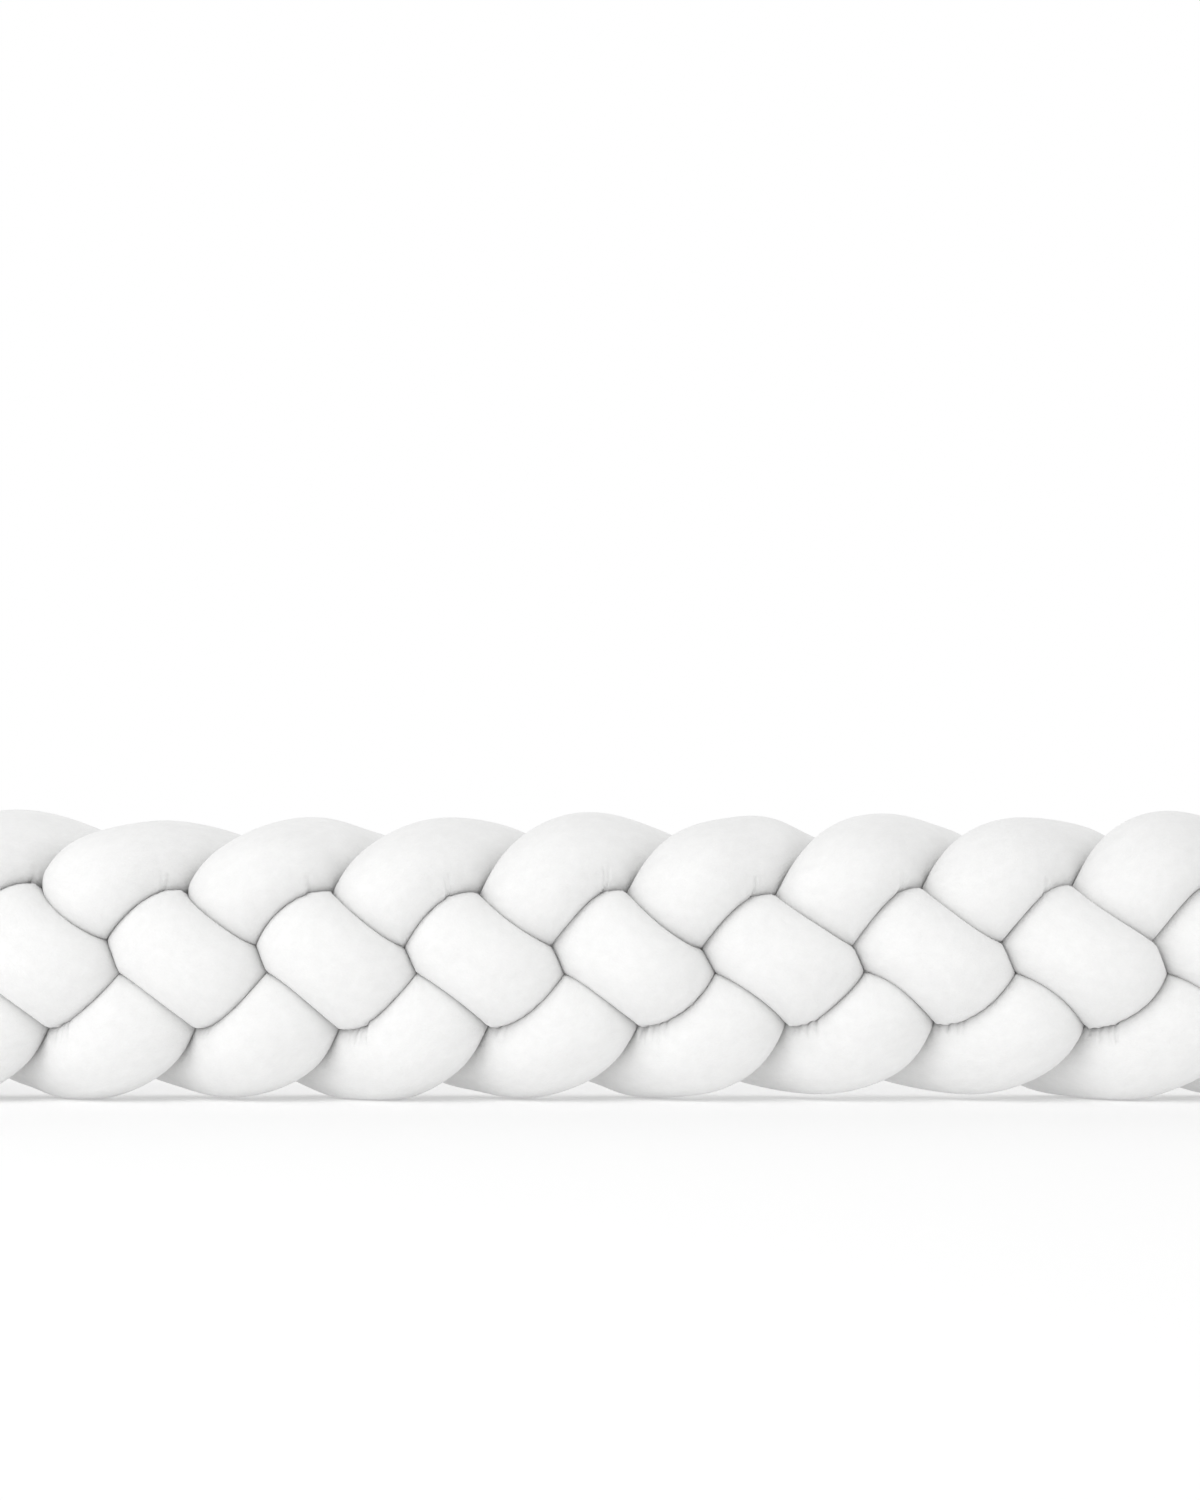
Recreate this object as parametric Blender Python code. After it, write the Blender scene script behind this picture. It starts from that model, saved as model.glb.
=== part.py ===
"""Crib bumper: four stuffed cloth tubes plaited into one flat braid that stands on its lower edge.

Metres. X runs along the braid, Y through its thickness with the face side towards -Y, and Z is up.
The origin lies under the braid's middle, on the surface that it stands on.
"""
import math

import bmesh
import bpy
import numpy as np

# ---- The plait --------------------------------------------------------------------------------
STRANDS = 4
CROSSINGS = 13            # lobes along each edge, from one end of the plait to the other
PITCH = 0.083             # from one lobe to the next
SWING = 0.050             # how far a centreline swings above and below the braid's mid-height
EDGE_DEPTH = 0.0185       # centreline in front of or behind the mid-plane at a crossing near an edge
CENTRE_DEPTH = 0.0263     # the same at a crossing on the mid-height
SHARPNESS = -0.0032       # share of a fifth wave, which quickens the change from over to under
PEAK = 0.045              # share of a third wave in the swing, which turns the lobes more sharply
LEAN = 0.40               # the upper lobes lie this much towards -X for each metre of height
BOW = 0.0030              # rising strands bow towards -X above the mid-height, towards +X below it

# ---- The stuffed tubes ------------------------------------------------------------------------
EDGE_RADIUS = 0.031       # where a strand turns at the braid's upper or lower edge
CENTRE_RADIUS = 0.035     # where it crosses the mid-height, pressed wide by the strand behind it
CONTACT_GAP = 0.0016      # between two strands' pressed faces
CONTACT_ROUNDING = 0.010  # how softly a round side turns into a pressed face
REST_SINK = 0.0025        # the lowest lobes are pressed flat by this much where they stand

# ---- The two ends -----------------------------------------------------------------------------
TAIL = 0.028              # the strands run straight for this long past the last crossing
TURN_EASE = 0.35          # pitches before and after the last crossing in which the swing dies out
LEAN_FADE = 1.5           # pitches before the last crossing in which the lean dies out

# ---- The mesh ---------------------------------------------------------------------------------
RINGS = 110               # along one strand
SIDES = 14                # around it
CAP_RINGS = 2             # in each rounded end
LINE_STEP = 0.002         # between the sampled points of a centreline
SEARCH = 0.075            # no nearest centreline point lies further along X than this
WIDEST = 0.055            # no side of a strand lies further from its centreline than this
HALVINGS = 16             # of the interval in which a side is looked for
DRAWS = 4                 # times that points are drawn in until the faces between them fit too

# How far each lobe strays from an even plait, in millimetres: along is +X, up is +Z and full is
# added to the radius. A row holds the three lobes of one column, counted from the braid's middle.
UNEVEN = (
    # column,  top: along, up, full,    mid: along, up, full,    low: along, up, full
    (-6,     1.5,  -1.0,   0.0,      1.0,  -0.5,   0.0,     -1.5,   0.0,   0.5),
    (-5,     5.5,   3.3,  -1.5,      3.0,   0.0,   0.5,      0.0,   1.0,   0.0),
    (-4,     7.5,   6.4,  -2.5,      4.0,   1.5,   1.5,      0.0,   2.5,   1.0),
    (-3,     7.5,   1.4,  -3.0,      3.0,  -1.0,   1.0,     -2.0,   4.5,   1.0),
    (-2,     6.2,   0.9,  -1.5,      1.5,  -1.0,   1.0,     -5.0,   1.0,   1.0),
    (-1,     3.4,   0.4,  -0.5,      0.8,  -0.8,   0.5,     -5.0,   4.0,   1.0),
    ( 0,    -0.4,   2.0,   0.5,      0.8,  -1.5,   0.0,     -5.5,   3.0,   0.5),
    ( 1,     1.3,  -0.8,   1.3,      0.8,  -0.5,   0.0,     -5.0,   5.5,   0.5),
    ( 2,    -1.4,   0.7,   1.3,      0.5,   1.0,   1.0,     -6.0,   6.0,   0.5),
    ( 3,    -3.0,  -0.8,   1.3,      0.5,   1.0,   2.0,     -5.0,   1.0,   0.5),
    ( 4,    -3.0,   2.4,   1.3,      1.0,   1.0,   1.0,      0.0,   1.0,   0.0),
    ( 5,    -1.2,   1.0,   0.5,      0.5,   0.0,   0.0,      0.5,   1.5,   0.0),
    ( 6,    -0.5,  -0.5,   0.0,      0.5,  -0.5,   0.0,      0.0,   0.0,   0.5),
)

CLOTH_COLOUR = (0.91, 0.91, 0.90, 1.0)
CLOTH_ROUGHNESS = 0.95


def ease(t):
    """Smooth step: nought at or below 0, one at or above 1."""
    t = np.clip(t, 0.0, 1.0)
    return t * t * (3.0 - 2.0 * t)


def quarter_turns(u, last):
    """Position along the plait, in pitches, held at the last crossing so that the tails run straight."""
    past = np.clip((np.abs(u) - (last - TURN_EASE)) / (2.0 * TURN_EASE), 0.0, 1.0)
    held = np.minimum(np.abs(u), last - TURN_EASE) + 2.0 * TURN_EASE * (past - past * past / 2.0)
    return np.sign(u) * held


def stray(u, level):
    """Uneven shift along X, shift along Z and fullness, u pitches from the braid's middle.

    Each column's values fade to its neighbours' as a squared cosine, and its three rows, at levels
    1, 0 and -1, blend by the parabola through them.
    """
    table = np.array(UNEVEN)
    apart = np.clip(np.abs(u[:, None] - table[:, 0]), 0.0, 1.0)
    values = np.cos(math.pi / 2.0 * apart) ** 2 @ table[:, 1:] / 1000.0
    rows = np.stack([level * (level + 1.0) / 2.0, 1.0 - level * level, level * (level - 1.0) / 2.0])
    return np.einsum('rn,nrc->cn', rows, values.reshape(len(u), 3, 3))


def centreline(strand):
    """Points along one strand's centreline, before the braid is set on its surface, and its radii.

    Its height is a wave four pitches long, and each strand follows the one before it by a pitch. Its
    depth is a sum of odd cosines with the wanted depth at the edge and centre crossings.
    """
    last = CROSSINGS / 2.0
    reach = last + TAIL / PITCH
    u = np.linspace(-reach, reach, int(2.0 * reach * PITCH / LINE_STEP))
    turn = math.pi / 2.0 * (quarter_turns(u, last) - strand)
    first = (math.sqrt(2.0) * EDGE_DEPTH - CENTRE_DEPTH) / 2.0
    third = -(math.sqrt(2.0) * EDGE_DEPTH + CENTRE_DEPTH) / 2.0 - SHARPNESS
    level = (np.sin(turn) - PEAK * np.sin(3.0 * turn)) / (1.0 + PEAK)
    along, up, full = stray(u, level)
    fade = 1.0 - ease((np.abs(u) - (last - LEAN_FADE)) / LEAN_FADE)
    bow = BOW * np.sin(2.0 * turn) * (1.0 + np.cos(turn)) / 2.0
    x = PITCH * u - fade * (LEAN * SWING * level + bow) + along
    y = -(first * np.cos(turn) + third * np.cos(3.0 * turn) + SHARPNESS * np.cos(5.0 * turn))
    z = SWING * level + up
    radius = EDGE_RADIUS + (CENTRE_RADIUS - EDGE_RADIUS) * np.cos(turn) ** 2 + full
    return np.stack([x, y, z], axis=1), radius


def outside(tube, points):
    """How far points lie outside a tube: the least of their distance to its line less its radius."""
    line, radius = tube
    step = (line[-1, 0] - line[0, 0]) / (len(line) - 1)
    guess = ((points[:, 0] - line[0, 0]) / step).astype(int)
    least = np.full(len(points), np.inf)
    for offset in range(-int(SEARCH / step), int(SEARCH / step) + 1):
        at = np.clip(guess + offset, 0, len(line) - 1)
        least = np.minimum(least, np.linalg.norm(points - line[at], axis=1) - radius[at])
    return least


def beyond(points, strand, tubes):
    """How far points lie outside a strand: past its tube, or past half-way to another tube."""
    own = outside(tubes[strand], points)
    other = np.min([outside(tube, points) for i, tube in enumerate(tubes) if i != strand], axis=0)
    pressed = (own - other + CONTACT_GAP) / 2.0
    near = np.clip(CONTACT_ROUNDING - np.abs(own - pressed), 0.0, None)
    return np.maximum(own, pressed) + near * near / (4.0 * CONTACT_ROUNDING)


def reach_of(starts, rays, strand, tubes):
    """How far each ray runs from its start to the strand's surface, by halving an interval."""
    low = np.zeros(len(starts))
    high = np.full(len(starts), WIDEST)
    for _ in range(HALVINGS):
        middle = (low + high) / 2.0
        inside = beyond(starts + middle[:, None] * rays, strand, tubes) < 0.0
        low = np.where(inside, middle, low)
        high = np.where(inside, high, middle)
    return low


def even_steps(line, count):
    """A line's points at equal steps along it, and its direction there in the upright plane."""
    run = np.concatenate([[0.0], np.cumsum(np.linalg.norm(np.diff(line, axis=0), axis=1))])
    at = np.linspace(0.0, run[-1], count)
    points = np.stack([np.interp(at, run, line[:, axis]) for axis in range(3)], axis=1)
    ahead = np.gradient(points, axis=0) * (1.0, 0.0, 1.0)
    return points, ahead / np.linalg.norm(ahead, axis=1)[:, None]


def draw_in(starts, rays, reach, strand, tubes):
    """Shorten each point's reach by what the flat faces around it stand out of the strand."""
    for _ in range(DRAWS):
        near = starts + reach[..., None] * rays
        beside = np.roll(near, -1, axis=1)
        middles = np.stack([near[:-1] + near[1:], near[:-1] + beside[:-1], near[1:] + beside[1:],
                            near[:-1] + beside[1:], beside[:-1] + near[1:]]) / 2.0
        excess = beyond(middles.reshape(-1, 3), strand, tubes).reshape(middles.shape[:3]).max(axis=0)
        excess = np.maximum(excess, np.roll(excess, 1, axis=1)).clip(0.0)
        reach = reach - np.maximum(np.pad(excess, ((1, 0), (0, 0))), np.pad(excess, ((0, 1), (0, 0))))
    return reach


def strand_surface(strand, rings, sides, cap_rings):
    """A grid of surface points, ring by ring, and the two points that close the strand's ends.

    Each ring lies across the strand, in the plane of Y and of the normal to its run.
    """
    tubes = [centreline(i) for i in range(STRANDS)]
    centres, ahead = even_steps(tubes[strand][0], rings)
    outward = np.stack([-ahead[0], ahead[-1]])
    poles = centres[[0, -1]] + outward * reach_of(centres[[0, -1]], outward, strand, tubes)[:, None]
    bulge = np.sin(math.pi / 2.0 * np.arange(1, cap_rings + 1) / (cap_rings + 1))[:, None]
    first_cap = centres[0] + bulge[::-1] * (poles[0] - centres[0])
    last_cap = centres[-1] + bulge * (poles[1] - centres[-1])
    centres = np.concatenate([first_cap, centres, last_cap])
    ahead = np.pad(ahead, ((cap_rings, cap_rings), (0, 0)), mode='edge')

    across = np.stack([-ahead[:, 2], np.zeros(len(ahead)), ahead[:, 0]], axis=1)
    angle = np.arange(sides) * 2.0 * math.pi / sides
    rays = (-np.cos(angle)[:, None] * across[:, None]
            + np.sin(angle)[:, None] * np.array([0.0, 1.0, 0.0]))
    starts = np.broadcast_to(centres[:, None], rays.shape)
    reach = reach_of(starts.reshape(-1, 3), rays.reshape(-1, 3), strand, tubes)
    reach = draw_in(starts, rays, reach.reshape(rays.shape[:2]), strand, tubes)
    floor = np.array([0.0, 0.0, REST_SINK - SWING - EDGE_RADIUS])
    return starts + reach[..., None] * rays - floor, poles - floor


def rest_flat(mesh):
    """Cut the lobes off level where they stand, and close the cuts with flat faces."""
    cut = bmesh.ops.bisect_plane(mesh, geom=mesh.verts[:] + mesh.edges[:] + mesh.faces[:], dist=1e-6,
                                 plane_co=(0.0, 0.0, 0.0), plane_no=(0.0, 0.0, -1.0), clear_outer=True)
    edges = [item for item in cut['geom_cut'] if isinstance(item, bmesh.types.BMEdge)]
    bmesh.ops.edgeloop_fill(mesh, edges=edges)


def cloth_material(name):
    """White plush cloth."""
    material = bpy.data.materials.new(name)
    material.use_nodes = True
    finish = material.node_tree.nodes['Principled BSDF']
    finish.inputs['Base Color'].default_value = CLOTH_COLOUR
    finish.inputs['Roughness'].default_value = CLOTH_ROUGHNESS
    finish.inputs['Metallic'].default_value = 0.0
    material.diffuse_color = CLOTH_COLOUR
    return material


def add_strand(strand):
    """One stuffed tube: rings of points joined by four-sided faces, with a fan over each end."""
    grid, poles = strand_surface(strand, RINGS, SIDES, CAP_RINGS)
    mesh = bmesh.new()
    rings = [[mesh.verts.new(point) for point in ring] for ring in grid]
    first_pole, last_pole = (mesh.verts.new(point) for point in poles)
    for ring, following in zip(rings, rings[1:]):
        for side in range(SIDES):
            after = (side + 1) % SIDES
            mesh.faces.new((ring[side], ring[after], following[after], following[side]))
    for side in range(SIDES):
        after = (side + 1) % SIDES
        mesh.faces.new((first_pole, rings[0][after], rings[0][side]))
        mesh.faces.new((last_pole, rings[-1][side], rings[-1][after]))
    rest_flat(mesh)
    bmesh.ops.recalc_face_normals(mesh, faces=mesh.faces[:])
    name = f'strand_{strand + 1}'
    data = bpy.data.meshes.new(name)
    mesh.to_mesh(data)
    mesh.free()
    data.shade_smooth()
    data.set_sharp_from_angle(angle=math.radians(50.0))
    data.materials.append(cloth_material(f'{name}_cloth'))
    bpy.context.scene.collection.objects.link(bpy.data.objects.new(name, data))


def main():
    for old in list(bpy.data.objects):
        bpy.data.objects.remove(old, do_unlink=True)
    for strand in range(STRANDS):
        add_strand(strand)


main()
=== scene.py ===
"""Crib bumper: the looks of four stuffed velour tubes plaited into one flat braid.

Metres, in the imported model's frame: X runs along the braid, Y through its thickness with the face
side towards -Y, Z is up, and the surface that the braid stands on is at Z = 0. Each tube follows the
centreline of the CAD strand that it replaces and is drawn much finer, with the puckers inside its
bends, the gathers at its closed ends, the sewn seam along its back and the nap of its velour.
"""

import math

import bpy
import numpy as np
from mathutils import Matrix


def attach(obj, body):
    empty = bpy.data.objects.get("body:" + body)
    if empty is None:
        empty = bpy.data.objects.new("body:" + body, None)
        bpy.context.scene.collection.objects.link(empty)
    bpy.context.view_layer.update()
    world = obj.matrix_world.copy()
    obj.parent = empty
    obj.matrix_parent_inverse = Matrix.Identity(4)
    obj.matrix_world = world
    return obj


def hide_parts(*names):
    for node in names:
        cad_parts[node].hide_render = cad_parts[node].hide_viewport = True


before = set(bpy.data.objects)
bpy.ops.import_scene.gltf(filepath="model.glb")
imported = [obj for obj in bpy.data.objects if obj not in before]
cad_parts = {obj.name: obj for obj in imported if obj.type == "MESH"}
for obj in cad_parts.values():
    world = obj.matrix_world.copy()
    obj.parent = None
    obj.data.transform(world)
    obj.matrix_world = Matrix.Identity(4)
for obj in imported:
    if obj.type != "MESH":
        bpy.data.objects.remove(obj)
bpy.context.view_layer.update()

MM = 0.001
FULL_TURN = 2.0 * math.pi

# ---- The plait, as in the CAD model -----------------------------------------------------------
STRANDS = 4
CROSSINGS = 13            # lobes along each edge, from one end of the plait to the other
PITCH = 0.083             # from one lobe to the next
SWING = 0.050             # how far a centreline swings above and below the braid's mid-height
EDGE_DEPTH = 0.0185       # centreline in front of or behind the mid-plane at a crossing near an edge
CENTRE_DEPTH = 0.0263     # the same at a crossing on the mid-height
SHARPNESS = -0.0032       # share of a fifth wave, which quickens the change from over to under
PEAK = 0.045              # share of a third wave in the swing, which turns the lobes more sharply
LEAN = 0.40               # the upper lobes lie this much towards -X for each metre of height
BOW = 0.0030              # rising strands bow towards -X above the mid-height, towards +X below it
EDGE_RADIUS = 0.031       # where a strand turns at the braid's upper or lower edge
CENTRE_RADIUS = 0.035     # where it crosses the mid-height, pressed wide by the strand behind it
REST_SINK = 0.0025        # the lowest lobes are pressed flat by this much where they stand
TAIL = 0.028              # the strands run straight for this long past the last crossing
TURN_EASE = 0.35          # pitches before and after the last crossing in which the swing dies out
LEAN_FADE = 1.5           # pitches before the last crossing in which the lean dies out
MID_HEIGHT = SWING + EDGE_RADIUS - REST_SINK

# How far each lobe strays from an even plait, in millimetres: along is +X, up is +Z and full is
# added to the radius. A row holds the three lobes of one column, counted from the braid's middle.
UNEVEN = (
    # column,  top: along, up, full,    mid: along, up, full,    low: along, up, full
    (-6,     1.5,  -1.0,   0.0,      1.0,  -0.5,   0.0,     -1.5,   0.0,   0.5),
    (-5,     5.5,   3.3,  -1.5,      3.0,   0.0,   0.5,      0.0,   1.0,   0.0),
    (-4,     7.5,   6.4,  -2.5,      4.0,   1.5,   1.5,      0.0,   2.5,   1.0),
    (-3,     7.5,   1.4,  -3.0,      3.0,  -1.0,   1.0,     -2.0,   4.5,   1.0),
    (-2,     6.2,   0.9,  -1.5,      1.5,  -1.0,   1.0,     -5.0,   1.0,   1.0),
    (-1,     3.4,   0.4,  -0.5,      0.8,  -0.8,   0.5,     -5.0,   4.0,   1.0),
    (0,     -0.4,   2.0,   0.5,      0.8,  -1.5,   0.0,     -5.5,   3.0,   0.5),
    (1,      1.3,  -0.8,   1.3,      0.8,  -0.5,   0.0,     -5.0,   5.5,   0.5),
    (2,     -1.4,   0.7,   1.3,      0.5,   1.0,   1.0,     -6.0,   6.0,   0.5),
    (3,     -3.0,  -0.8,   1.3,      0.5,   1.0,   2.0,     -5.0,   1.0,   0.5),
    (4,     -3.0,   2.4,   1.3,      1.0,   1.0,   1.0,      0.0,   1.0,   0.0),
    (5,     -1.2,   1.0,   0.5,      0.5,   0.0,   0.0,      0.5,   1.5,   0.0),
    (6,     -0.5,  -0.5,   0.0,      0.5,  -0.5,   0.0,      0.0,   0.0,   0.5),
)

# ---- How the cloth lies -----------------------------------------------------------------------
CONTACT_OVERLAP = 0.0012  # two tubes' pressed faces sink this far into each other's nap
CONTACT_ROUNDING = 0.010  # how softly a round side turns into a pressed face
FLOOR_ROUNDING = 0.0012   # how softly a lobe turns flat where it stands
LUMPS = 7                 # long low waves of uneven filling in each tube
LUMP_HEIGHT = 0.00022     # of each of them
LUMP_LENGTHS = (0.035, 0.09)  # the shortest and the longest
LUMP_TWIST = 3            # the most waves that one of them makes around the tube
LUMP_SEED = 11

# Puckers inside the bends that the camera sees, on the face side. An edge is 1 at the top and -1 at
# the bottom. The puckers are spread from one place along X to another, in millimetres, where the
# camera sees them against the mid-plane. Their depths and lengths are in millimetres too.
PUCKERS = (
    # edge, from, to,   how many, deep, long
    (1,  -336.0, -333.0, 2, 1.7, 2.5),
    (1,  -267.0, -264.0, 2, 1.6, 2.5),
    (1,  -190.0, -186.0, 2, 1.7, 2.5),
    (1,  -110.0, -106.0, 2, 1.7, 2.5),
    (1,   -18.0,  -14.0, 2, 1.8, 3.5),
    (1,    64.0,   70.0, 3, 1.0, 2.0),
    (1,   145.0,  153.0, 3, 1.3, 2.5),
    (1,   226.0,  230.0, 2, 1.3, 2.5),
    (1,   306.0,  310.0, 1, 1.6, 2.5),
    (-1, -323.0, -308.0, 3, 2.0, 5.0),
    (-1, -241.0, -234.0, 2, 1.7, 4.0),
    (-1, -157.0, -140.0, 5, 2.3, 5.0),
    (-1,  -75.0,  -67.0, 2, 1.7, 4.0),
    (-1,   -4.0,   25.0, 6, 2.5, 8.0),
    (-1,   89.0,  110.0, 4, 2.0, 5.0),
    (-1,  171.0,  194.0, 4, 2.0, 5.0),
    (-1,  256.0,  278.0, 5, 2.2, 6.0),
)
FACE_DEPTH = 0.031        # of the seen side of a bend in front of the mid-plane
FACE_SPREAD = 1.028       # a length on it, as the camera sees it, against one on the mid-plane
INNER_HEIGHT = 0.0395     # of the inside of a bend from the braid's mid-height
PUCKER_STRAY = 0.0006     # of a seen pucker from its even place
PUCKER_WIDTH = 0.0011     # from the middle of its valley to where it is about a third as deep
PUCKER_LIFT = 0.45        # how far the cloth swells between two puckers, as a share of their depth
PUCKER_START = 1.22       # radians from the inside of the bend to where a pucker starts to fade
PUCKER_LENGTHS = (0.5, 1.25)  # the shortest and the longest, as a share of their row's length
PUCKER_DEPTHS = (0.6, 1.3)    # the shallowest and the deepest, as a share of their row's depth
PUCKER_SLANT = 0.0012     # how far one slants along the tube for each radian round it
PUCKER_REACH = 0.030      # no pucker lies further than this from the peak of its bend
PUCKER_SEED = 5

# Puckers inside the bends that the camera doesn't see
HIDDEN_PUCKERS = (2, 6)   # the fewest and the most at a bend
HIDDEN_STEP = 0.0042      # between two of them, before they stray
HIDDEN_STRAY = 0.0010
HIDDEN_DEPTH = 0.9        # in millimetres, as in the table above
HIDDEN_LENGTH = 7.0

SEAM_DEPTH = 0.0008       # of the sewn line along the back of each tube
SEAM_WIDTH = 0.0011       # as a pucker's
STITCH = 0.0045           # from one pull of the sewing thread to the next
STITCH_PULL = 0.35        # how much deeper the seam is there, as a share of its depth
GATHERS = 15              # folds around each closed end
GATHER_DEPTH = 0.0018
GATHER_START = 0.25       # cosine of the angle off the tube's line at which the folds start
GATHER_FULL = 0.85        # and at which they are deepest
HOLLOW_DEPTH = 0.0035     # where the folds meet
HOLLOW_WIDTH = 0.12       # in radians off the tube's line

# ---- The meshes -------------------------------------------------------------------------------
LINE_STEP = 0.002         # between the sampled points of a centreline
SEARCH = 0.060            # no nearest centreline point lies further along X than this
STRIDE = 4                # samples passed over in the first look for it
WIDEST = 0.055            # no side of a tube lies further from its centreline than this
HALVINGS = 9              # of a ray's length in the first look for the skin
COARSE = 3                # the first look is taken on every third ring and side
CORRECTIONS = 4           # of each point's reach, which bring it onto the skin
LONGEST_CORRECTION = 0.004
LEAST_CHANGE = 1e-7       # of the reach: a smaller one tells nothing of the slope
SLOPES = (0.3, 1.5)       # the gentlest and the steepest slope that a correction goes by
TINY = 1e-6               # no length that is divided by is taken as less
FINE_MESH = (720, 126, 26)    # rings along a tube, sides around it and rings of each round end
CAP_CLOSENESS = 1.3       # the rings of an end are closest at its end point
BEND_RINGS = 4.5          # rings inside a bend are this many times closer than elsewhere
BEND_REACH = 0.017        # they widen again over this length, from half as far off the bend's peak
RUN_SAMPLES = 6000        # of the rings' closeness, along a tube
MAP_STEP = 0.0005         # of the map of the cloth's relief, along a tube
MAP_SIDES = 400           # and around it

BACK, UP = 0.25 * FULL_TURN, 0.5 * FULL_TURN  # angles around a tube, from straight down


def ease(t):
    """Smooth step: nought at or below 0, one at or above 1."""
    t = np.clip(t, 0.0, 1.0)
    return t * t * (3.0 - 2.0 * t)


def angle_between(a, b):
    """The shorter way round from angle b to angle a, with its sign."""
    return (a - b + math.pi) % FULL_TURN - math.pi


def quarter_turns(u, last):
    """Position along the plait, in pitches, held at the last crossing so that the tails run straight."""
    past = np.clip((np.abs(u) - (last - TURN_EASE)) / (2.0 * TURN_EASE), 0.0, 1.0)
    held = np.minimum(np.abs(u), last - TURN_EASE) + 2.0 * TURN_EASE * (past - past * past / 2.0)
    return np.sign(u) * held


def stray(u, level):
    """Uneven shift along X, shift along Z and fullness, u pitches from the braid's middle.

    Each column's values fade to its neighbours' as a squared cosine, and its three rows, at levels
    1, 0 and -1, blend by the parabola through them.
    """
    table = np.array(UNEVEN)
    apart = np.clip(np.abs(u[:, None] - table[:, 0]), 0.0, 1.0)
    values = np.cos(math.pi / 2.0 * apart) ** 2 @ table[:, 1:] * MM
    rows = np.stack([level * (level + 1.0) / 2.0, 1.0 - level * level, level * (level - 1.0) / 2.0])
    return np.einsum('rn,nrc->cn', rows, values.reshape(len(u), 3, 3))


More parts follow.
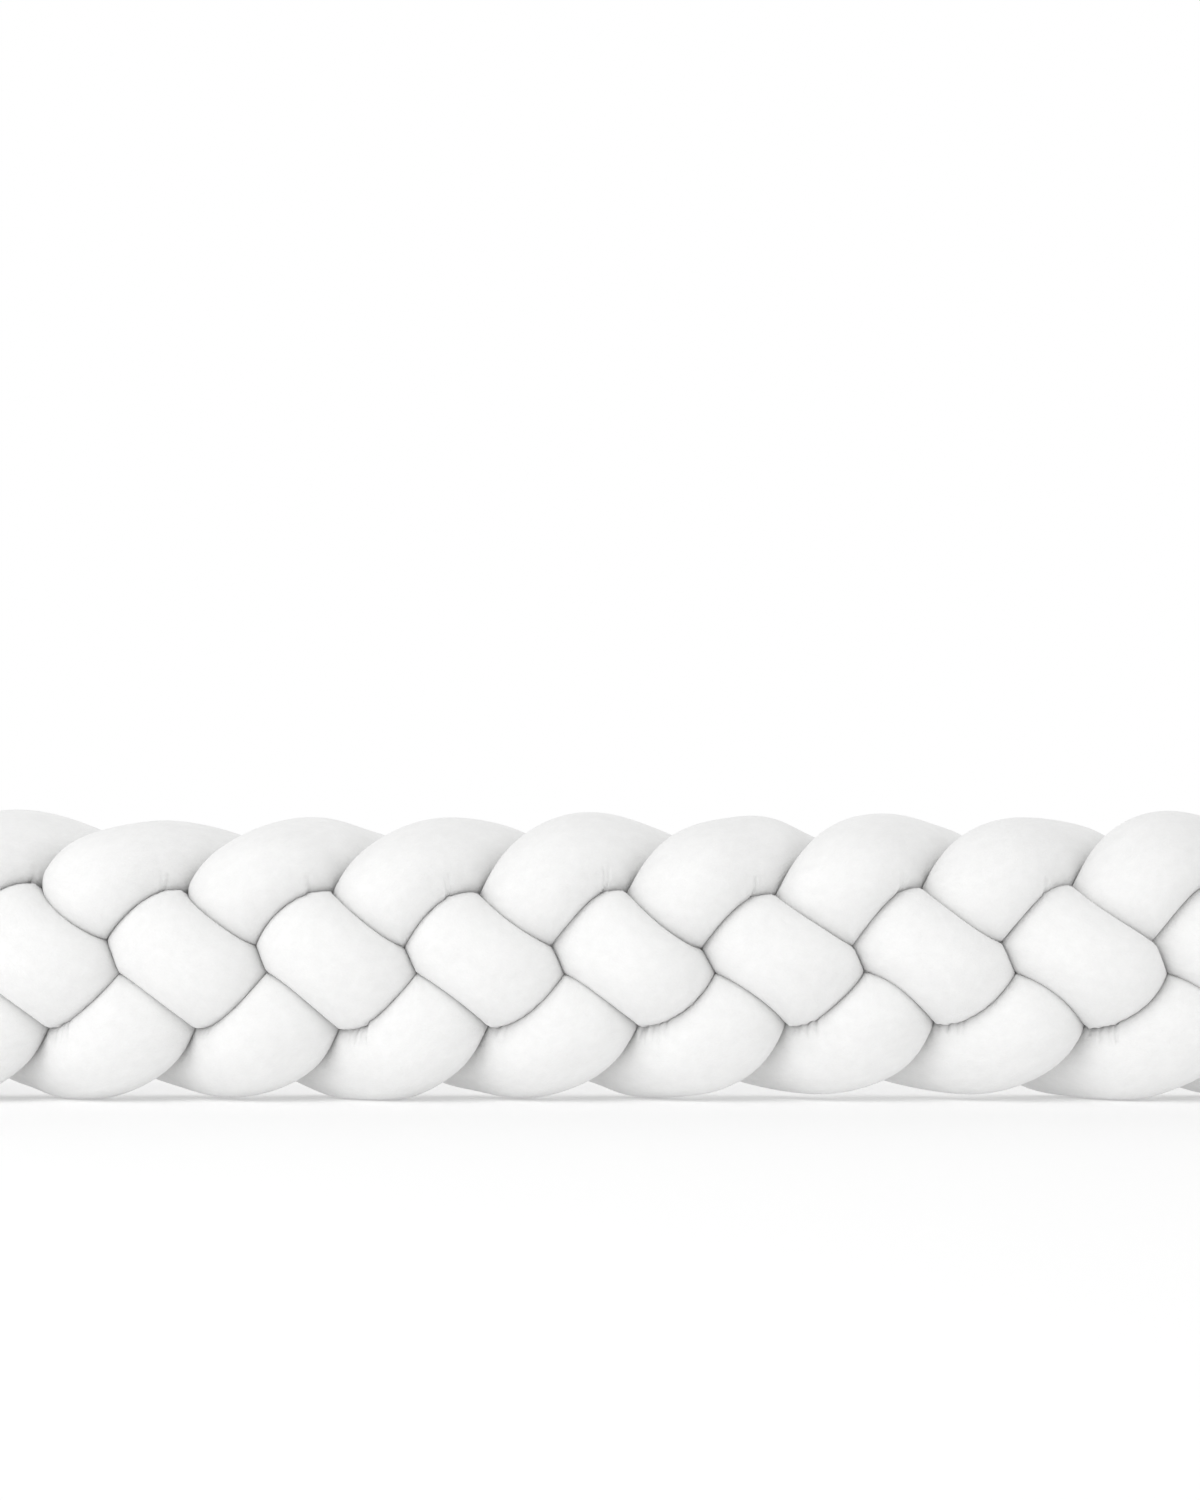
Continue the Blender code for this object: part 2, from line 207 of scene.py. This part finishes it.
class Tube:
    """One strand of the plait: its sampled centreline, and the relief of its cloth.

    Its turn t grows by a quarter turn a pitch, and each strand follows the one before it by a pitch.
    Its height is SWING * (sin t - PEAK * sin 3t) / (1 + PEAK) over the mid-height. Its depth is a
    sum of cos t, cos 3t and cos 5t with the wanted depth at the edge and centre crossings. It is
    moved towards -X by LEAN times its height and by BOW * sin 2t * (1 + cos t) / 2, and its radius
    grows from EDGE_RADIUS to CENTRE_RADIUS as cos^2 t.
    """

    def __init__(self, strand):
        self.strand = strand
        last = CROSSINGS / 2.0
        reach = last + TAIL / PITCH
        u = np.linspace(-reach, reach, int(2.0 * reach * PITCH / LINE_STEP))
        turn = math.pi / 2.0 * (quarter_turns(u, last) - strand)
        first = (math.sqrt(2.0) * EDGE_DEPTH - CENTRE_DEPTH) / 2.0
        third = -(math.sqrt(2.0) * EDGE_DEPTH + CENTRE_DEPTH) / 2.0 - SHARPNESS
        level = (np.sin(turn) - PEAK * np.sin(3.0 * turn)) / (1.0 + PEAK)
        along, up, full = stray(u, level)
        fade = 1.0 - ease((np.abs(u) - (last - LEAN_FADE)) / LEAN_FADE)
        bow = BOW * np.sin(2.0 * turn) * (1.0 + np.cos(turn)) / 2.0
        depth = first * np.cos(turn) + third * np.cos(3.0 * turn) + SHARPNESS * np.cos(5.0 * turn)
        self.turn = turn
        self.line = np.stack([PITCH * u - fade * (LEAN * SWING * level + bow) + along, -depth,
                              SWING * level + up + MID_HEIGHT], axis=1)
        self.radius = EDGE_RADIUS + (CENTRE_RADIUS - EDGE_RADIUS) * np.cos(turn) ** 2 + full
        steps = np.linalg.norm(np.diff(self.line, axis=0), axis=1)
        self.run = np.concatenate([[0.0], np.cumsum(steps)])
        ahead = np.gradient(self.line, axis=0) * (1.0, 0.0, 1.0)
        self.ahead = ahead / np.linalg.norm(ahead, axis=1)[:, None]
        self.relief = relief_map(self)

    def at(self, values, place):
        """Values that belong to the samples, read between them."""
        whole = np.clip(place.astype(int), 0, len(self.run) - 2)
        part = place - whole
        if values.ndim == 2:
            part = part[:, None]
        return values[whole] * (1.0 - part) + values[whole + 1] * part

    def nearest(self, points):
        """Distance from points to the centreline, and the place along its samples that is nearest.

        The squared distances to the nearest sample and its two neighbours lie on a parabola, whose
        lowest point gives both.
        """
        step = (self.line[-1, 0] - self.line[0, 0]) / (len(self.line) - 1)
        best = ((points[:, 0] - self.line[0, 0]) / step).astype(int)
        window = int(SEARCH / step / STRIDE) * STRIDE
        for offsets in (range(-window, window + 1, STRIDE), range(1 - STRIDE, STRIDE)):
            guess, least = best, np.full(len(points), np.inf)
            for offset in offsets:
                sample = np.clip(guess + offset, 0, len(self.line) - 1)
                square = self.squares(points, sample)
                closer = square < least
                least = np.where(closer, square, least)
                best = np.where(closer, sample, best)
        best = np.clip(best, 1, len(self.line) - 2)
        before, here, after = (self.squares(points, best + shift) for shift in (-1, 0, 1))
        bend = np.maximum(before - 2.0 * here + after, TINY ** 2)
        part = np.clip((before - after) / (2.0 * bend), -1.0, 1.0)
        lowest = here + part * ((after - before) / 2.0 + bend * part / 2.0)
        return np.sqrt(np.maximum(lowest, 0.0)), best + part

    def squares(self, points, sample):
        """Squared distance from points to samples of the centreline."""
        gap = points - self.line[sample]
        return np.einsum('ij,ij->i', gap, gap)

    def angles(self, points, place):
        """Angle of points around the tube: 0 below it, BACK behind it and UP above it."""
        gap = points - self.at(self.line, place)
        ahead = self.at(self.ahead, place)
        return np.arctan2(gap[:, 1], gap[:, 0] * ahead[:, 2] - gap[:, 2] * ahead[:, 0]) % FULL_TURN

    def cloth(self, points, place):
        """Height of the cloth's relief at points, read between the map's four nearest places."""
        rows = self.at(self.run, place) / self.run[-1] * (len(self.relief) - 1)
        columns = self.angles(points, place) / FULL_TURN * MAP_SIDES
        row = np.clip(rows.astype(int), 0, len(self.relief) - 2)
        column = columns.astype(int) % MAP_SIDES
        after = (column + 1) % MAP_SIDES
        down, right = rows - row, columns - columns.astype(int)
        near = self.relief[row, column] * (1.0 - right) + self.relief[row, after] * right
        far = self.relief[row + 1, column] * (1.0 - right) + self.relief[row + 1, after] * right
        return near * (1.0 - down) + far * down + self.gathers(points, place)

    def gathers(self, points, place):
        """The folds of a closed end, drawn together into a small hollow on the tube's line.

        A fold's depth is GATHER_DEPTH * (1 - |sin|) of the angle around, times a smooth step of the
        cosine of the point's angle off the tube's line. The folds run out where the hollow starts,
        and its depth is HOLLOW_DEPTH * exp(-(angle off the line / HOLLOW_WIDTH)^2).
        """
        tip = np.where(place > len(self.run) / 2, len(self.run) - 1, 0)
        gap = points - self.line[tip]
        outward = np.where(tip > 0, 1.0, -1.0) * np.einsum('ij,ij->i', gap, self.ahead[tip])
        facing = outward / np.maximum(np.linalg.norm(gap, axis=1), TINY)
        off_line = np.sqrt(np.clip(2.0 - 2.0 * facing, 0.0, None))
        fold = 1.0 - np.abs(np.sin(GATHERS / 2.0 * self.angles(points, place) + self.strand))
        fold *= ease((facing - GATHER_START) / (GATHER_FULL - GATHER_START))
        fold *= ease(off_line / HOLLOW_WIDTH)
        return -GATHER_DEPTH * fold - HOLLOW_DEPTH * np.exp(-(off_line / HOLLOW_WIDTH) ** 2)


def outside(tube, points):
    """How far points lie outside a tube: their distance to its line, less its radius and relief."""
    distance, place = tube.nearest(points)
    return distance - tube.at(tube.radius, place) - tube.cloth(points, place)


def beyond(points, tube, tubes):
    """How far points lie outside a tube's cloth: past its own skin, or past half-way to another tube.

    The two are joined by a maximum whose edge is rounded over CONTACT_ROUNDING.
    """
    own = outside(tube, points)
    other = np.min([outside(each, points) for each in tubes if each is not tube], axis=0)
    pressed = (own - other - CONTACT_OVERLAP) / 2.0
    near = np.clip(CONTACT_ROUNDING - np.abs(own - pressed), 0.0, None)
    return np.maximum(own, pressed) + near * near / (4.0 * CONTACT_ROUNDING)


def peaks_of(levels):
    """Places of the samples where a wave is furthest from nought."""
    size = np.abs(levels)
    return 1 + np.flatnonzero((size[1:-1] > size[:-2]) & (size[1:-1] >= size[2:]))


def seen_x(along):
    """Where a mark on the seen side lies along X, from where the camera sees it on the mid-plane."""
    return CAMERA_PLACE[0] + (along * MM - CAMERA_PLACE[0]) / FACE_SPREAD


def seen_row(tube, peak, edge):
    """The row of PUCKERS for a bend: its middle is less than half a pitch from the bend's inside.

    The lean carries the inside of a bend back along X from the bend's own peak.
    """
    inside = tube.line[peak, 0] + edge * LEAN * (SWING - INNER_HEIGHT)
    for row in PUCKERS:
        if row[0] == edge and abs(seen_x((row[1] + row[2]) / 2.0) - inside) < PITCH / 2.0:
            return row
    return None


def seen_offsets(tube, peak, row, draw):
    """How far along the tube from its peak each pucker of a row lies: even steps, a little strayed."""
    edge, first, last, count = row[:4]
    steps = np.linspace(first, last, count) if count > 1 else np.array([(first + last) / 2.0])
    spots = np.stack([seen_x(steps), np.full(count, -FACE_DEPTH),
                      np.full(count, MID_HEIGHT + edge * INNER_HEIGHT)], axis=1)
    runs = tube.at(tube.run, tube.nearest(spots)[1])
    return runs - tube.run[peak] + draw.normal(0.0, PUCKER_STRAY, count)


def hidden_offsets(draw):
    """Offsets from the peak of the few puckers in a bend that the camera doesn't see."""
    count = draw.integers(HIDDEN_PUCKERS[0], HIDDEN_PUCKERS[1] + 1)
    return (np.linspace(-0.5, 0.5, count) * HIDDEN_STEP * count
            + draw.normal(0.0, HIDDEN_STRAY, count))


def puckered_bends(tube, draw):
    """Where a tube's bends are puckered: edge and run of the bend, side, offsets, depth and length.

    The side is -1 for the face side, which the camera sees, and 1 for the back.
    """
    levels = np.sin(tube.turn)
    found = []
    for peak in peaks_of(levels):
        edge = 1 if levels[peak] > 0.0 else -1
        row = seen_row(tube, peak, edge)
        for side in (-1, 1):
            if row and side < 0:
                offsets, depth, length = seen_offsets(tube, peak, row, draw), row[4], row[5]
            else:
                offsets, depth, length = hidden_offsets(draw), HIDDEN_DEPTH, HIDDEN_LENGTH
            found.append((edge, tube.run[peak], side, offsets, depth * MM, length * MM))
    return found


def puckers_at(edge, middle, side, offsets, depth, length, draw, around, along):
    """Creases side by side inside one bend, each a sharp valley across the tube's run.

    A valley is -depth * exp(-|distance| / width), and the cloth swells by PUCKER_LIFT of the depth
    between them. Both fade out over their length away from the inside of the bend.
    """
    inner = 0.0 if edge > 0 else UP
    from_inner = np.abs(angle_between(around, inner)) - PUCKER_START
    on_side = np.sin(around) * side >= 0.0
    spread = max(np.ptp(offsets), PUCKER_WIDTH) / 2.0 + 2.0 * PUCKER_WIDTH
    centre = middle + (np.max(offsets) + np.min(offsets)) / 2.0
    swell = np.exp(-((along - centre) / spread) ** 4)
    fade = 1.0 - ease(from_inner * EDGE_RADIUS / length)
    relief = PUCKER_LIFT * depth * swell[:, None] * (fade * on_side)[None, :]
    for offset in offsets:
        own_length = length * draw.uniform(*PUCKER_LENGTHS)
        slant = draw.normal(0.0, PUCKER_SLANT)
        fade = (1.0 - ease(from_inner * EDGE_RADIUS / own_length)) * on_side
        place = middle + offset + slant * from_inner
        away = np.abs(along[:, None] - place[None, :])
        own_depth = depth * draw.uniform(*PUCKER_DEPTHS)
        relief -= own_depth * np.exp(-away / PUCKER_WIDTH) * fade[None, :]
    return relief


def relief_map(tube):
    """The height of a tube's cloth over its plain round skin, on a grid of run and angle.

    It is the sum of long low waves of uneven filling, of the seam along its back, which dips a
    little deeper at each stitch, and of the puckers inside its bends.
    """
    draw = np.random.default_rng(LUMP_SEED + tube.strand)
    along = np.linspace(0.0, tube.run[-1], int(tube.run[-1] / MAP_STEP))
    around = np.arange(MAP_SIDES) * FULL_TURN / MAP_SIDES
    relief = np.zeros((len(along), len(around)))
    for _ in range(LUMPS):
        wave = along[:, None] * FULL_TURN / draw.uniform(*LUMP_LENGTHS) + draw.uniform(0.0, FULL_TURN)
        twist = draw.integers(-LUMP_TWIST, LUMP_TWIST + 1)
        relief += LUMP_HEIGHT * np.cos(wave + twist * around[None, :])
    from_seam = angle_between(around, BACK) * EDGE_RADIUS
    pulled = 1.0 + STITCH_PULL * np.cos(along * FULL_TURN / STITCH)
    relief -= SEAM_DEPTH * pulled[:, None] * np.exp(-(from_seam / SEAM_WIDTH) ** 2)[None, :]
    draw = np.random.default_rng(PUCKER_SEED + tube.strand)
    for edge, middle, side, offsets, depth, length in puckered_bends(tube, draw):
        near = np.abs(along - middle) < PUCKER_REACH
        relief[near] += puckers_at(edge, middle, side, offsets, depth, length, draw, around, along[near])
    return relief


def ring_runs(tube, count):
    """Runs of the rings along a tube: BEND_RINGS times closer inside its bends than elsewhere."""
    along = np.linspace(0.0, tube.run[-1], RUN_SAMPLES)
    peaks = along[peaks_of(np.sin(np.interp(along, tube.run, tube.turn)))]
    apart = np.min(np.abs(along[:, None] - peaks[None, :]), axis=1)
    density = 1.0 + (BEND_RINGS - 1.0) * (1.0 - ease((apart - BEND_REACH / 2.0) / BEND_REACH))
    total = np.concatenate([[0.0], np.cumsum((density[1:] + density[:-1]) / 2.0)])
    return np.interp(np.linspace(0.0, total[-1], count), total, along)


def first_reach(starts, rays, tube, tubes):
    """How far each ray runs from its start to the tube's skin, by halving an interval."""
    low = np.zeros(len(starts))
    high = np.full(len(starts), WIDEST)
    for _ in range(HALVINGS):
        middle = (low + high) / 2.0
        within = beyond(starts + middle[:, None] * rays, tube, tubes) < 0.0
        low = np.where(within, middle, low)
        high = np.where(within, high, middle)
    return (low + high) / 2.0


def corrected(reach, starts, rays, tube, tubes):
    """Reach brought onto the skin by the secant through the last two tries, held to a gentle slope."""
    tried, excess = reach, beyond(starts + reach[:, None] * rays, tube, tubes)
    reach = reach - excess
    for _ in range(CORRECTIONS - 1):
        now = beyond(starts + reach[:, None] * rays, tube, tubes)
        change = reach - tried
        moved = np.abs(change) > LEAST_CHANGE
        slope = np.where(moved, (now - excess) / np.where(moved, change, 1.0), 1.0)
        tried, excess = reach, now
        step = now / np.clip(slope, *SLOPES)
        reach = reach - np.clip(step, -LONGEST_CORRECTION, LONGEST_CORRECTION)
    return reach


def refined(values, rows, columns):
    """A coarse grid, closed around its second axis, read at more rows and columns by straight lines."""
    row = np.linspace(0.0, len(values) - 1.0, rows)
    column = np.arange(columns) * values.shape[1] / columns
    closed = np.concatenate([values, values[:, :1]], axis=1)
    low_row = np.clip(row.astype(int), 0, len(values) - 2)
    low_column = column.astype(int)
    down, right = (row - low_row)[:, None], (column - low_column)[None, :]
    across = closed[:, low_column] * (1.0 - right) + closed[:, low_column + 1] * right
    return across[low_row] * (1.0 - down) + across[low_row + 1] * down


def ring_frames(tube, rings, cap_rings):
    """Run, middle, direction and slant of each ring, those of the rounded ends included.

    The slant is the angle between a ring's rays and the tube's direction, a right angle along the
    tube. The rings of an end share its last middle, and their slants shrink to its end point as
    the power CAP_CLOSENESS of even steps.
    """
    run = ring_runs(tube, rings)
    place = np.interp(run, tube.run, np.arange(len(tube.run)))
    ahead = tube.at(tube.ahead, place)
    ahead = ahead / np.linalg.norm(ahead, axis=1)[:, None]
    ends = ((cap_rings, cap_rings), (0, 0))
    slant = math.pi / 2.0 * (np.arange(1, cap_rings + 1) / (cap_rings + 1.0)) ** CAP_CLOSENESS
    slants = np.concatenate([math.pi - slant, np.full(rings, math.pi / 2.0), slant[::-1]])
    return (np.pad(run, cap_rings, mode='edge'), np.pad(tube.at(tube.line, place), ends, mode='edge'),
            np.pad(ahead, ends, mode='edge'), slants)


def rays_around(ahead, slants, sides):
    """Unit rays of each ring, from below by the back.

    A ray is sin(slant) * (-cos(a) * across + sin(a) * Y) + cos(slant) * ahead, at the angle a.
    """
    across = np.stack([-ahead[:, 2], np.zeros(len(ahead)), ahead[:, 0]], axis=1)
    angle = np.arange(sides) * FULL_TURN / sides
    square = (-np.cos(angle)[:, None] * across[:, None]
              + np.sin(angle)[:, None] * np.array([0.0, 1.0, 0.0]))
    return np.sin(slants)[:, None, None] * square + (np.cos(slants)[:, None] * ahead)[:, None]


def end_points(middles, ahead, tube, tubes):
    """The two points of the tube's skin that lie on its line."""
    starts = middles[[0, -1]]
    rays = np.stack([-ahead[0], ahead[-1]])
    reach = corrected(first_reach(starts, rays, tube, tubes), starts, rays, tube, tubes)
    return starts + reach[:, None] * rays


def tube_surface(tube, tubes, middles, ahead, slants, sides):
    """The tube's skin as a grid of points, ring by ring.

    Each point's reach along its ray is found coarsely first, and then brought onto the skin.
    """
    picked = np.linspace(0, len(middles) - 1, len(middles) // COARSE).round().astype(int)
    rays = rays_around(ahead[picked], slants[picked], sides // COARSE)
    starts = np.broadcast_to(middles[picked][:, None], rays.shape)
    coarse = first_reach(starts.reshape(-1, 3), rays.reshape(-1, 3), tube, tubes)
    reach = refined(coarse.reshape(rays.shape[:2]), len(middles), sides).reshape(-1)
    rays = rays_around(ahead, slants, sides).reshape(-1, 3)
    starts = np.repeat(middles, sides, axis=0)
    reach = corrected(reach, starts, rays, tube, tubes)
    return (starts + reach[:, None] * rays).reshape(len(middles), sides, 3)


def on_the_floor(points):
    """Points kept above the surface: z becomes (z + sqrt(z^2 + k^2)) / 2, with k FLOOR_ROUNDING."""
    z = points[..., 2]
    lifted = (z + np.sqrt(z * z + FLOOR_ROUNDING ** 2)) / 2.0
    return np.concatenate([points[..., :2], lifted[..., None]], axis=-1)


def tube_faces(count, sides):
    """Four-sided faces between the rings, and a fan of triangles from each end point."""
    corner = np.arange(count * sides).reshape(count, sides)
    after = np.roll(corner, -1, axis=1)
    quads = np.stack([corner[:-1], after[:-1], after[1:], corner[1:]], axis=-1).reshape(-1, 4)
    first = np.stack([np.full(sides, count * sides), after[0], corner[0]], axis=-1)
    last = np.stack([np.full(sides, count * sides + 1), corner[-1], after[-1]], axis=-1)
    return quads.tolist() + first.tolist() + last.tolist()


def places_laid_straight(run, slants, sides):
    """Each point's place on the same tube laid straight, with the edge radius and round ends."""
    angle = np.arange(sides) * FULL_TURN / sides
    width = EDGE_RADIUS * np.sin(slants)[:, None]
    along = run + EDGE_RADIUS * np.cos(slants)
    places = np.stack([np.repeat(along[:, None], sides, axis=1),
                       width * np.cos(angle), width * np.sin(angle)], axis=-1)
    ends = [[run[0] - EDGE_RADIUS, 0.0, 0.0], [run[-1] + EDGE_RADIUS, 0.0, 0.0]]
    return np.concatenate([places.reshape(-1, 3), ends])


def tube_object(tube, tubes, rings, sides, cap_rings, material):
    """One stuffed tube, closed at both ends.

    Its along_tube attribute holds each point's place on the same tube laid straight, so that the
    velour's nap follows the cloth and meets itself at the seam.
    """
    run, middles, ahead, slants = ring_frames(tube, rings, cap_rings)
    grid = tube_surface(tube, tubes, middles, ahead, slants, sides)
    poles = end_points(middles, ahead, tube, tubes)
    points = on_the_floor(np.concatenate([grid.reshape(-1, 3), poles]))
    mesh = bpy.data.meshes.new(f'tube_{tube.strand + 1}')
    mesh.from_pydata(points.tolist(), [], tube_faces(len(grid), sides))
    mesh.shade_smooth()
    attribute = mesh.attributes.new('along_tube', 'FLOAT_VECTOR', 'POINT')
    places = places_laid_straight(run, slants, sides)
    attribute.data.foreach_set('vector', places.astype(np.float32).ravel())
    mesh.materials.append(material)
    piece = bpy.data.objects.new(mesh.name, mesh)
    bpy.context.scene.collection.objects.link(piece)
    return piece


# ---- Materials --------------------------------------------------------------------------------
VELOUR_SHADE = (0.80, 0.80, 0.796, 1.0)  # where its nap is darkest
VELOUR_LIGHT = (0.98, 0.98, 0.976, 1.0)  # and lightest
FLOOR_WHITE = (0.82, 0.82, 0.82, 1.0)
FLOOR_GLOW = 0.22
WHITE_LIGHT = (1.0, 1.0, 1.0, 1.0)


class Shade:
    """A socket in a tree of shader nodes. Python's own operators on it add Math nodes."""

    def __init__(self, nodes, socket):
        self.nodes = nodes
        self.socket = socket

    def math(self, operation, *values):
        """The answer of a Math node on these values."""
        return self.nodes.add('ShaderNodeMath', {'operation': operation}, dict(enumerate(values)))

    def __add__(self, other):
        return self.math('ADD', self, other)

    def __radd__(self, other):
        return self.math('ADD', other, self)

    def __mul__(self, other):
        return self.math('MULTIPLY', self, other)

    def __rmul__(self, other):
        return self.math('MULTIPLY', other, self)


class Nodes:
    """The shader nodes of a material or of the surround, and the one way to add to them."""

    def __init__(self, owner):
        owner.use_nodes = True
        self.tree = owner.node_tree

    def add(self, kind, settings=None, sockets=None, output=0):
        """Add a node: its settings first, then the values or links of its sockets; give one output."""
        added = self.tree.nodes.new(kind)
        for name, value in (settings or {}).items():
            setattr(added, name, value)
        self.put(added, sockets or {})
        return Shade(self, added.outputs[output])

    def put(self, node, sockets):
        """Set each socket's own value, or link another socket to it."""
        for name, value in sockets.items():
            if isinstance(value, Shade):
                self.tree.links.new(value.socket, node.inputs[name])
            else:
                node.inputs[name].default_value = value


def new_material(name):
    """A material, its nodes and its surface shader."""
    material = bpy.data.materials.new(name)
    nodes = Nodes(material)
    return material, nodes, nodes.tree.nodes['Principled BSDF']


def velour():
    """White velour: a short matt nap brushed along the tube, over faint cloudy changes of tone.

    It has four noises, each given by its waves in a metre along the tube and across it: clouds of
    20 to 28 mm, patches of 5 to 7 mm, a nap drawn out along the tube, 0.7 mm across and 1.5 mm
    long, and a rounder pile of 0.4 mm. The tone between two near whites is the sum of the clouds,
    the patches and the nap, and the bump is that of the patches, the nap and the pile. The patches
    alone vary the roughness.
    """
    material, nodes, surface = new_material('white_velour')
    place = nodes.add('ShaderNodeAttribute', {'attribute_name': 'along_tube'}, output='Vector')

    def noise(along, across, detail=2.0):
        waves = (along, across, across)
        vector = nodes.add('ShaderNodeVectorMath', {'operation': 'MULTIPLY'}, {0: place, 1: waves})
        return nodes.add('ShaderNodeTexNoise', {}, {'Vector': vector, 'Scale': 1.0, 'Detail': detail,
                                                    'Roughness': 0.5}, output='Fac')

    clouds = noise(35.0, 50.0)
    patches = noise(150.0, 190.0)
    nap = noise(650.0, 1500.0, detail=3.0)
    pile = noise(2600.0, 2600.0, detail=1.0)
    tone = 0.35 * clouds + 0.35 * patches + 0.3 * nap
    colour = nodes.add('ShaderNodeMix', {'data_type': 'RGBA'},
                       {'Factor': tone, 6: VELOUR_SHADE, 7: VELOUR_LIGHT}, output=2)
    bump = nodes.add('ShaderNodeBump', {}, {'Strength': 0.8, 'Distance': 0.001,
                                            'Height': 0.5 * patches + 0.3 * nap + 0.13 * pile})
    nodes.put(surface, {'Base Color': colour, 'Roughness': 0.88 + 0.12 * patches, 'Sheen Weight': 0.25,
                        'Sheen Roughness': 0.5, 'Specular IOR Level': 0.15, 'Normal': bump})
    return material


def pale_floor():
    """Matt near-white for the surface that the braid stands on, with a faint glow of its own.

    The glow stands for the light that a bright room throws up at the braid.
    """
    material, nodes, surface = new_material('pale_floor')
    nodes.put(surface, {'Base Color': FLOOR_WHITE, 'Roughness': 0.9, 'Specular IOR Level': 0.1,
                        'Emission Color': WHITE_LIGHT, 'Emission Strength': FLOOR_GLOW})
    return material


# ---- The studio -------------------------------------------------------------------------------
CAMERA_PLACE = (-0.0185, -1.15, 0.07975)
CAMERA_SCALE = 1760.0     # pixels for each metre in the braid's mid-plane
IMAGE_WIDTH = 1200.0      # in pixels
SENSOR_WIDTH = 36.0       # in millimetres, as Blender has it
BRAID_DROP = 208.0        # pixels from the middle of the image down to the braid's mid-height
FLOOR_HALF = 40.0         # half the floor's width
HORIZON = 1.0             # brightness of the surround near the horizon
OVERHEAD = 0.56           # and overhead
DIMMING = (0.42, 0.80)    # sines of the heights between which the one turns into the other

# Soft lamps: name, place, size in metres, watts. Each faces the braid's middle.
LAMPS = (
    ('key', (-1.4, -1.9, 2.3), 2.0, 21.5),
    ('fill', (-1.5, -1.7, 0.8), 1.5, 4.0),
    ('back', (0.4, 2.4, 2.1), 2.2, 9.0),
)


def add_floor(material):
    """A wide flat floor."""
    mesh = bpy.data.meshes.new('floor')
    corners = [(x * FLOOR_HALF, y * FLOOR_HALF, 0.0) for x, y in ((-1, -1), (1, -1), (1, 1), (-1, 1))]
    mesh.from_pydata(corners, [], [(0, 1, 2, 3)])
    mesh.materials.append(material)
    floor = bpy.data.objects.new('floor', mesh)
    bpy.context.scene.collection.objects.link(floor)


def add_camera():
    """The photograph's view: level, square to the braid, with its mid-height low in the frame."""
    lens = bpy.data.cameras.new('camera')
    lens.sensor_fit = 'HORIZONTAL'
    lens.sensor_width = SENSOR_WIDTH
    lens.lens = SENSOR_WIDTH * -CAMERA_PLACE[1] * CAMERA_SCALE / IMAGE_WIDTH
    lens.shift_y = BRAID_DROP / IMAGE_WIDTH
    lens.clip_start = 0.01
    camera = bpy.data.objects.new('camera', lens)
    camera.location = CAMERA_PLACE
    camera.rotation_euler = (math.pi / 2.0, 0.0, 0.0)
    bpy.context.scene.collection.objects.link(camera)
    bpy.context.scene.camera = camera


def add_lamp(name, place, size, watts):
    """A square soft lamp that faces the middle of the braid."""
    light = bpy.data.lights.new(name, 'AREA')
    light.energy = watts
    light.size = size
    lamp = bpy.data.objects.new(name, light)
    lamp.location = place
    aim = np.array([0.0, 0.0, MID_HEIGHT]) - np.array(place)
    lamp.rotation_euler = (math.atan2(math.hypot(aim[0], aim[1]), -aim[2]), 0.0,
                           math.atan2(aim[1], aim[0]) - math.pi / 2.0)
    bpy.context.scene.collection.objects.link(lamp)


def add_surround():
    """The surround: bright at the horizon, as a pale backdrop on every side, and dimmer overhead."""
    world = bpy.data.worlds.new('surround')
    nodes = Nodes(world)
    direction = nodes.add('ShaderNodeTexCoord', output='Generated')
    height = nodes.add('ShaderNodeSeparateXYZ', {}, {'Vector': direction}, output='Z')
    overhead = nodes.add('ShaderNodeMapRange', {'interpolation_type': 'SMOOTHSTEP'},
                         {'Value': height, 'From Min': DIMMING[0], 'From Max': DIMMING[1]})
    brightness = HORIZON + (OVERHEAD - HORIZON) * overhead
    nodes.put(nodes.tree.nodes['Background'], {'Color': WHITE_LIGHT, 'Strength': brightness})
    bpy.context.scene.world = world


def light_studio():
    """The surround, the lamps and plain colours in the picture."""
    add_surround()
    for lamp in LAMPS:
        add_lamp(*lamp)
    bpy.context.scene.view_settings.view_transform = 'Standard'
    bpy.context.scene.view_settings.look = 'None'


def main():
    """The four tubes, each in place of its CAD strand, and the studio around them."""
    rings, sides, cap_rings = FINE_MESH
    tubes = [Tube(strand) for strand in range(STRANDS)]
    cloth = velour()
    for tube in tubes:
        piece = tube_object(tube, tubes, rings, sides, cap_rings, cloth)
        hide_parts(f'strand_{tube.strand + 1}')
        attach(piece, 'root')
    add_floor(pale_floor())
    light_studio()
    add_camera()


main()
